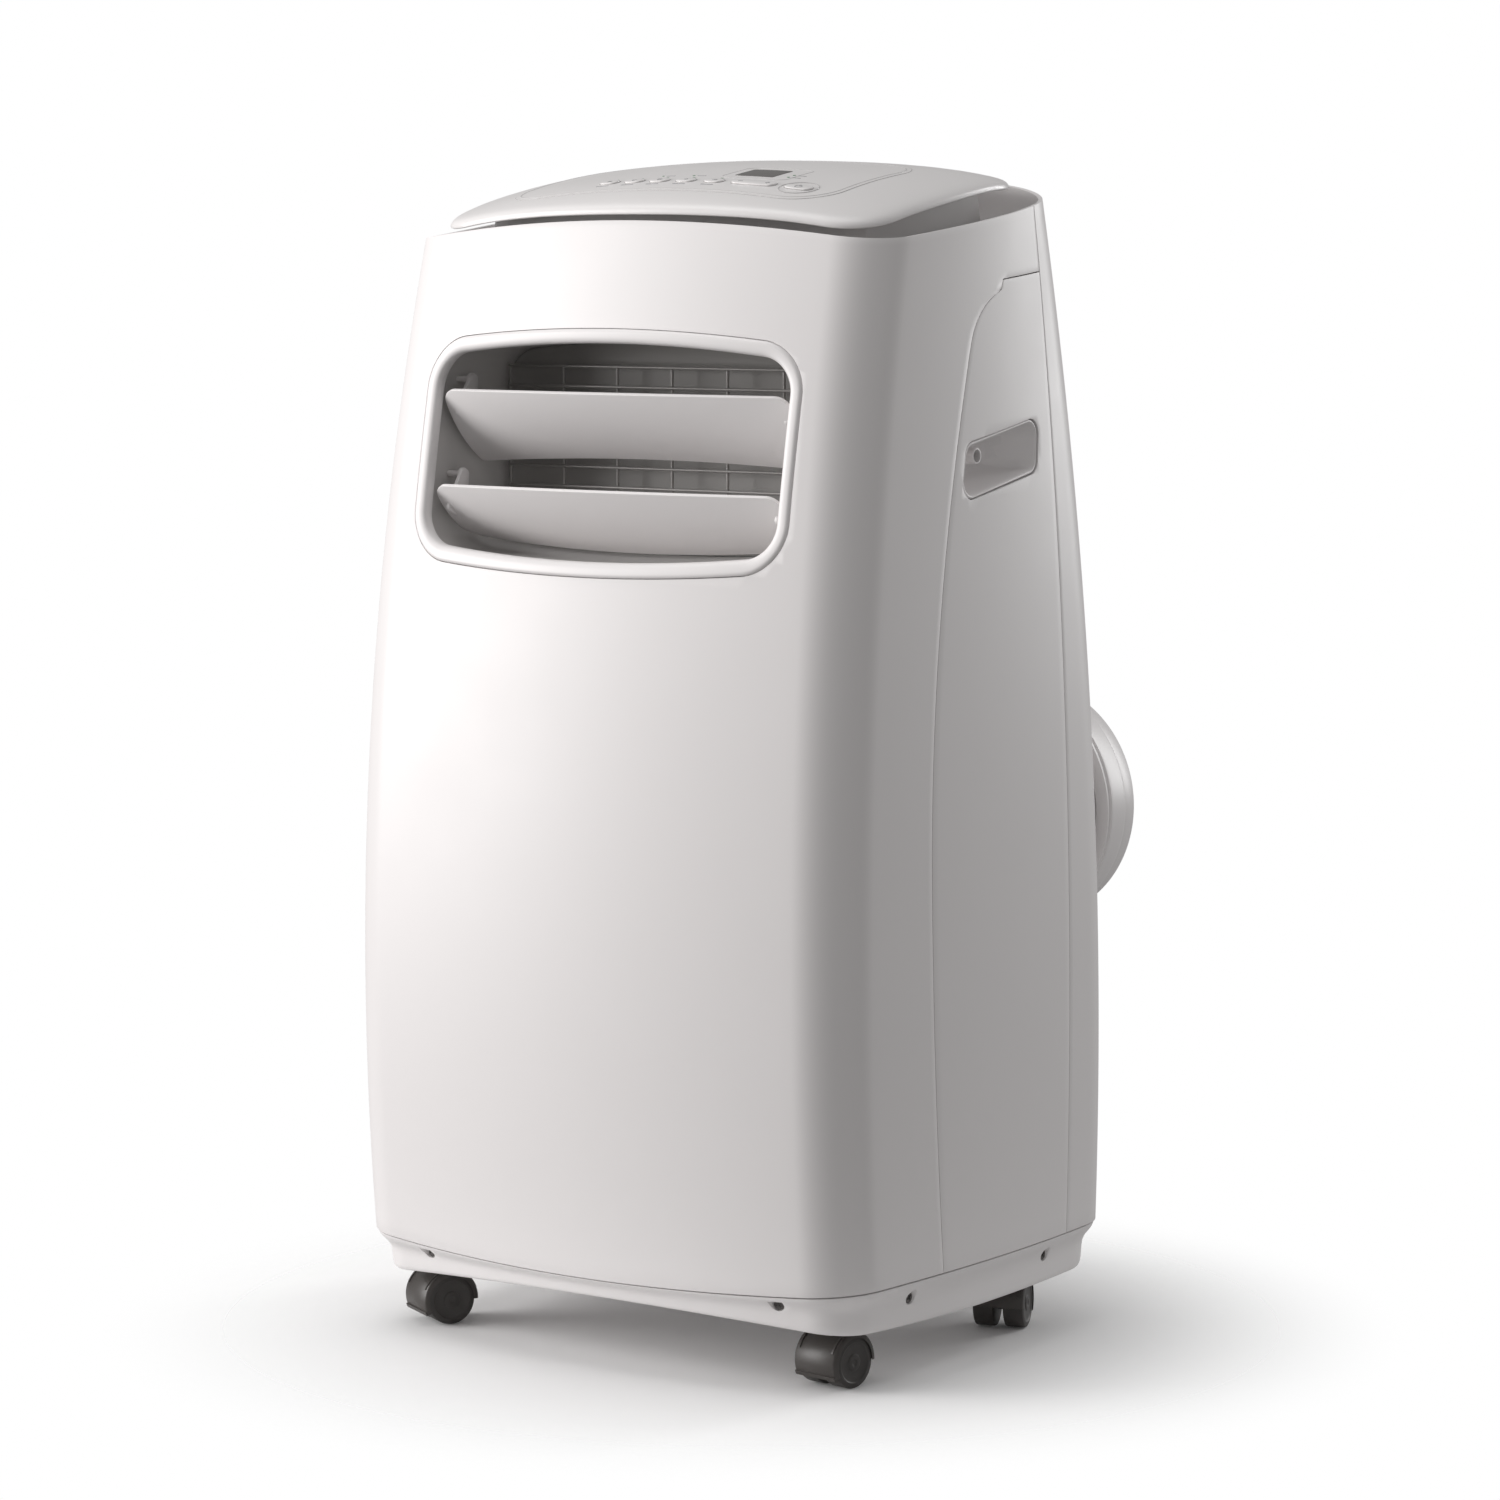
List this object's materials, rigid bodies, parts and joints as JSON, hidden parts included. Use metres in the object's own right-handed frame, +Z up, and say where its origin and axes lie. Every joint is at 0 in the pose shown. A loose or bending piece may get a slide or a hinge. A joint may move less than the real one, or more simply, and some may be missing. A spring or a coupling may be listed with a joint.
{
  "type": "portable air conditioner",
  "caption": "Portable air conditioner on swivel casters: tapered white cabinet, domed lid with touch keys, front outlet with tilting louvers, side handles, rear exhaust spigot",
  "frame": {"origin": "centre of the bounding box's underside, on the floor plane where the casters stand", "axes": "+Z up, the air outlet faces -Y, the exhaust spigot points along +Y, +X is the cabinet's left-hand side as seen from behind it and right-hand side as seen from the front"},
  "size_m": [0.3698, 0.3675, 0.6974],
  "materials": {
    "shell_white": "satin white moulded plastic",
    "lid_white": "smooth satin white plastic",
    "inner_white": "light grey moulded plastic",
    "grey_plastic": "mid grey moulded plastic",
    "dark_plastic": "dark warm grey moulded plastic",
    "display_lens": "dark grey glossy lens",
    "bare_steel": "plain steel",
    "coil_fins": "thin bare fins",
    "black_paint": "satin black paint",
    "copper": "bare copper tube",
    "filter_mesh": "fine dark plastic netting"
  },
  "bodies": {
    "cabinet": {"base_pan": "shell_white", "front_panel": "shell_white", "right_side_panel": "shell_white", "left_side_panel": "shell_white", "rear_panel": "shell_white", "top_deck": "inner_white", "lid_pedestal": "inner_white", "control_lid": "lid_white", "control_overlay": "lid_white", "display_window": "display_lens", "outlet_bezel": "shell_white", "outlet_duct": "grey_plastic", "wire_guard": "bare_steel", "louver_motor": "bare_steel", "right_handle_cup": "shell_white", "left_handle_cup": "shell_white", "lower_grille": "shell_white", "exhaust_collar": "inner_white", "cord_gland": "dark_plastic", "partition_tray": "inner_white", "evaporator": "coil_fins", "condenser": "coil_fins", "evaporator_fan_housing": "inner_white", "evaporator_fan_motor": "bare_steel", "condenser_fan_housing": "inner_white", "condenser_fan_motor": "bare_steel", "compressor": "black_paint", "control_box": "grey_plastic", "refrigerant_pipe": "copper"},
    "swing_key": {"swing_key": "lid_white"},
    "sleep_key": {"sleep_key": "lid_white"},
    "timer_key": {"timer_key": "lid_white"},
    "fan_key": {"fan_key": "lid_white"},
    "mode_key": {"mode_key": "lid_white"},
    "level_key": {"level_key": "lid_white"},
    "power_key": {"power_key": "lid_white"},
    "upper_louver": {"upper_louver": "shell_white"},
    "lower_louver": {"lower_louver": "shell_white"},
    "front_left_caster": {"front_left_hood": "dark_plastic", "front_left_axle": "bare_steel"},
    "front_left_outer_wheel": {"front_left_outer_wheel": "dark_plastic"},
    "front_left_inner_wheel": {"front_left_inner_wheel": "dark_plastic"},
    "front_right_caster": {"front_right_hood": "dark_plastic", "front_right_axle": "bare_steel"},
    "front_right_outer_wheel": {"front_right_outer_wheel": "dark_plastic"},
    "front_right_inner_wheel": {"front_right_inner_wheel": "dark_plastic"},
    "rear_left_caster": {"rear_left_hood": "dark_plastic", "rear_left_axle": "bare_steel"},
    "rear_left_outer_wheel": {"rear_left_outer_wheel": "dark_plastic"},
    "rear_left_inner_wheel": {"rear_left_inner_wheel": "dark_plastic"},
    "rear_right_caster": {"rear_right_hood": "dark_plastic", "rear_right_axle": "bare_steel"},
    "rear_right_outer_wheel": {"rear_right_outer_wheel": "dark_plastic"},
    "rear_right_inner_wheel": {"rear_right_inner_wheel": "dark_plastic"},
    "intake_panel": {"intake_cover": "shell_white", "air_filter": "filter_mesh"},
    "exhaust_adaptor": {"exhaust_adaptor": "shell_white"},
    "drain_plug": {"drain_plug": "grey_plastic"},
    "evaporator_fan": {"evaporator_fan": "grey_plastic"},
    "condenser_fan": {"condenser_fan": "grey_plastic"}
  },
  "joints": [
    {"name": "upper_louver_tilt", "type": "hinge", "parent": "cabinet", "child": "upper_louver", "pos_m": [0, -0.11725, 0.569], "axis": [1, 0, 0], "range_deg": [-40, 10]},
    {"name": "lower_louver_tilt", "type": "hinge", "parent": "cabinet", "child": "lower_louver", "pos_m": [0, -0.12625, 0.5135], "axis": [1, 0, 0], "range_deg": [-40, 10]},
    {"name": "swing_key_press", "type": "slide", "parent": "cabinet", "child": "swing_key", "axis": [0.0511, 0.2215, -0.9738], "range_m": [0, 0.0008], "stiffness_N_per_m": 300},
    {"name": "sleep_key_press", "type": "slide", "parent": "cabinet", "child": "sleep_key", "axis": [0.0307, 0.2191, -0.9752], "range_m": [0, 0.0008], "stiffness_N_per_m": 300},
    {"name": "timer_key_press", "type": "slide", "parent": "cabinet", "child": "timer_key", "axis": [0.0109, 0.2181, -0.9759], "range_m": [0, 0.0008], "stiffness_N_per_m": 300},
    {"name": "fan_key_press", "type": "slide", "parent": "cabinet", "child": "fan_key", "axis": [-0.0098, 0.2181, -0.9759], "range_m": [0, 0.0008], "stiffness_N_per_m": 300},
    {"name": "mode_key_press", "type": "slide", "parent": "cabinet", "child": "mode_key", "axis": [-0.0318, 0.2192, -0.9752], "range_m": [0, 0.0008], "stiffness_N_per_m": 300},
    {"name": "level_key_press", "type": "slide", "parent": "cabinet", "child": "level_key", "axis": [-0.0641, 0.2237, -0.9725], "range_m": [0, 0.0008], "stiffness_N_per_m": 300},
    {"name": "power_key_press", "type": "slide", "parent": "cabinet", "child": "power_key", "axis": [-0.1062, 0.2342, -0.9664], "range_m": [0, 0.0008], "stiffness_N_per_m": 300},
    {"name": "front_left_swivel", "type": "hinge", "parent": "cabinet", "child": "front_left_caster", "pos_m": [-0.142, -0.10325, 0.03], "axis": [0, 0, 1], "continuous": true},
    {"name": "front_left_outer_roll", "type": "hinge", "parent": "front_left_caster", "child": "front_left_outer_wheel", "pos_m": [-0.1481, -0.11473, 0.015], "axis": [-0.8829, 0.4695, 0], "continuous": true},
    {"name": "front_left_inner_roll", "type": "hinge", "parent": "front_left_caster", "child": "front_left_inner_wheel", "pos_m": [-0.1481, -0.11473, 0.015], "axis": [-0.8829, 0.4695, 0], "continuous": true},
    {"name": "front_right_swivel", "type": "hinge", "parent": "cabinet", "child": "front_right_caster", "pos_m": [0.142, -0.10325, 0.03], "axis": [0, 0, 1], "continuous": true},
    {"name": "front_right_outer_roll", "type": "hinge", "parent": "front_right_caster", "child": "front_right_outer_wheel", "pos_m": [0.14019, -0.11612, 0.015], "axis": [-0.9903, 0.1392, 0], "continuous": true},
    {"name": "front_right_inner_roll", "type": "hinge", "parent": "front_right_caster", "child": "front_right_inner_wheel", "pos_m": [0.14019, -0.11612, 0.015], "axis": [-0.9903, 0.1392, 0], "continuous": true},
    {"name": "rear_left_swivel", "type": "hinge", "parent": "cabinet", "child": "rear_left_caster", "pos_m": [-0.142, 0.05575, 0.03], "axis": [0, 0, 1], "continuous": true},
    {"name": "rear_left_outer_roll", "type": "hinge", "parent": "rear_left_caster", "child": "rear_left_outer_wheel", "pos_m": [-0.14946, 0.0664, 0.015], "axis": [0.8192, 0.5736, 0], "continuous": true},
    {"name": "rear_left_inner_roll", "type": "hinge", "parent": "rear_left_caster", "child": "rear_left_inner_wheel", "pos_m": [-0.14946, 0.0664, 0.015], "axis": [0.8192, 0.5736, 0], "continuous": true},
    {"name": "rear_right_swivel", "type": "hinge", "parent": "cabinet", "child": "rear_right_caster", "pos_m": [0.142, 0.05575, 0.03], "axis": [0, 0, 1], "continuous": true},
    {"name": "rear_right_outer_roll", "type": "hinge", "parent": "rear_right_caster", "child": "rear_right_outer_wheel", "pos_m": [0.13755, 0.06797, 0.015], "axis": [0.9397, 0.342, 0], "continuous": true},
    {"name": "rear_right_inner_roll", "type": "hinge", "parent": "rear_right_caster", "child": "rear_right_inner_wheel", "pos_m": [0.13755, 0.06797, 0.015], "axis": [0.9397, 0.342, 0], "continuous": true},
    {"name": "evaporator_fan_spin", "type": "hinge", "parent": "cabinet", "child": "evaporator_fan", "pos_m": [0, 0.00075, 0.505], "axis": [0, 1, 0], "continuous": true},
    {"name": "condenser_fan_spin", "type": "hinge", "parent": "cabinet", "child": "condenser_fan", "pos_m": [0.06, 0.03875, 0.29], "axis": [0, 1, 0], "continuous": true},
    {"name": "intake_panel_pull", "type": "slide", "parent": "cabinet", "child": "intake_panel", "axis": [0, 1, 0], "range_m": [0, 0.03]},
    {"name": "exhaust_adaptor_pull", "type": "slide", "parent": "cabinet", "child": "exhaust_adaptor", "axis": [0, 1, 0], "range_m": [0, 0.03]},
    {"name": "drain_plug_pull", "type": "slide", "parent": "cabinet", "child": "drain_plug", "axis": [0, 1, 0], "range_m": [0, 0.02]}
  ],
  "couplings": [
    {"joint": "lower_louver_tilt", "follows": "upper_louver_tilt", "ratio": 1}
  ]
}
